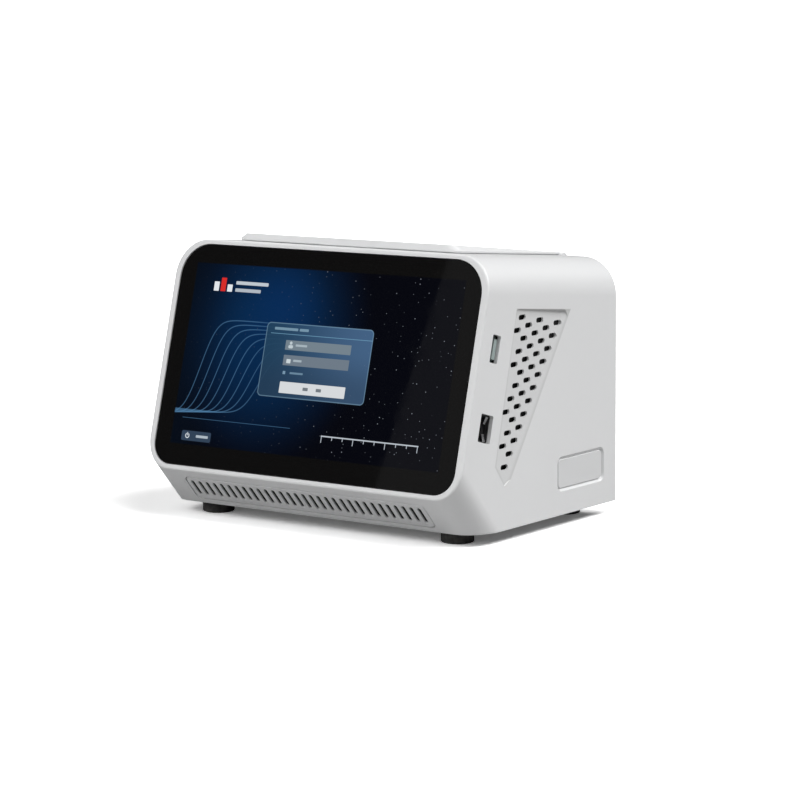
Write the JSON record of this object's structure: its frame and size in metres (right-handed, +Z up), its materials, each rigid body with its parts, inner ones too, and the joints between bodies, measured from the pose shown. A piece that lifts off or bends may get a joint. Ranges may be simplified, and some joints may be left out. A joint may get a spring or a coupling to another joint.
{
  "type": "real-time PCR machine",
  "caption": "Compact white bench PCR instrument: leaning touchscreen face, sloping chin grille, vented sides, and a hinged top lid over a block for sample tubes.",
  "frame": {"origin": "on the bench, under the middle of the case's footprint", "axes": "+X to the right of someone facing the screen, +Y towards the back, +Z up"},
  "size_m": [0.18, 0.1306, 0.1321],
  "materials": {
    "case_white": "satin white moulded plastic",
    "lid_white": "satin white moulded plastic",
    "screen_glass": "black printed cover glass, glossy",
    "display": "dark display module",
    "sheet_steel": "plated sheet",
    "screw_steel": "plated screws",
    "ground_steel": "ground rod",
    "socket_steel": "pressed shell",
    "block_aluminium": "machined and anodised",
    "sink_aluminium": "extruded",
    "plate_aluminium": "machined",
    "brass": "turned",
    "black_plastic": "moulded",
    "grey_plastic": "moulded",
    "chamber_grey": "moulded",
    "grille_white": "moulded",
    "rubber": "moulded",
    "seal": "soft",
    "screen_mesh": "fine mesh",
    "circuit_board": "solder mask",
    "chip": "moulded",
    "ceramic": "fired",
    "plate_white": "printed label stock",
    "lens": "polished"
  },
  "bodies": {
    "case": {"upper_housing": "case_white", "name_plate": "plate_white", "front_vent_grille": "grille_white", "dust_screens": "screen_mesh", "touch_glass": "screen_glass", "display_panel": "display", "display_bracket": "sheet_steel", "display_screws": "screw_steel", "board_standoffs": "brass", "main_board": "circuit_board", "board_screws": "screw_steel", "board_components": "chip", "usb_socket_upper": "socket_steel", "usb_socket_lower": "black_plastic", "socket_tongues": "black_plastic", "base_tray": "grey_plastic", "rubber_feet": "rubber", "foot_screws": "screw_steel", "housing_screws": "screw_steel", "rear_panel": "grille_white", "rear_panel_screws": "screw_steel", "power_inlet": "black_plastic", "network_socket": "socket_steel", "switch_housing": "black_plastic", "chamber_deck": "chamber_grey", "catch_plates": "screw_steel", "sample_block": "block_aluminium", "block_gasket": "seal", "peltier_modules": "ceramic", "heat_sink": "sink_aluminium", "block_screws": "screw_steel", "module_bracket_left": "sheet_steel", "module_bracket_right": "sheet_steel", "bracket_screws": "screw_steel", "fan_shroud": "sheet_steel", "fan_frame": "black_plastic", "fan_screws": "screw_steel", "light_guide_block": "black_plastic", "optics_frame": "plate_aluminium", "guide_rods": "ground_steel", "scan_motor": "chip", "power_board": "circuit_board", "power_components": "chip", "hinge_pins": "screw_steel"},
    "lid": {"lid_cover": "lid_white", "lid_inner_frame": "chamber_grey", "lid_screws": "screw_steel", "lid_magnets": "screw_steel", "lid_seal": "seal", "plate_springs": "screw_steel"},
    "press_plate": {"heated_plate": "plate_aluminium", "heater_mat": "seal"},
    "scan_head": {"scan_carriage": "black_plastic", "scan_lens": "lens", "lead_nut": "brass", "scan_board": "circuit_board"},
    "drive_screw": {"lead_screw": "ground_steel"},
    "fan": {"fan_rotor": "black_plastic"},
    "power_rocker": {"switch_rocker": "black_plastic"}
  },
  "joints": [
    {"name": "lid_hinge", "type": "hinge", "parent": "case", "child": "lid", "pos_m": [0, 0.058, 0.1199], "axis": [-1, 0, 0], "range_deg": [0, 92]},
    {"name": "press_plate_float", "type": "slide", "parent": "lid", "child": "press_plate", "axis": [0, 0, 1], "range_m": [0, 0.0025], "stiffness_N_per_m": 6000, "springref_m": -0.002, "deforming": ["plate_springs"]},
    {"name": "scan_slide", "type": "slide", "parent": "case", "child": "scan_head", "axis": [1, 0, 0], "range_m": [0, 0.063]},
    {"name": "screw_turn", "type": "hinge", "parent": "case", "child": "drive_screw", "pos_m": [0, 0.049, 0.07], "axis": [1, 0, 0], "range_deg": [0, 1900]},
    {"name": "fan_spin", "type": "hinge", "parent": "case", "child": "fan", "pos_m": [0, 0.008, 0.046], "axis": [0, 0, 1], "continuous": true},
    {"name": "power_switch", "type": "hinge", "parent": "case", "child": "power_rocker", "pos_m": [0.0655, 0.0609, 0.025], "axis": [1, 0, 0], "range_deg": [0, 20]}
  ],
  "couplings": [
    {"joint": "screw_turn", "follows": "scan_slide", "rad_per_m": 523.6}
  ]
}
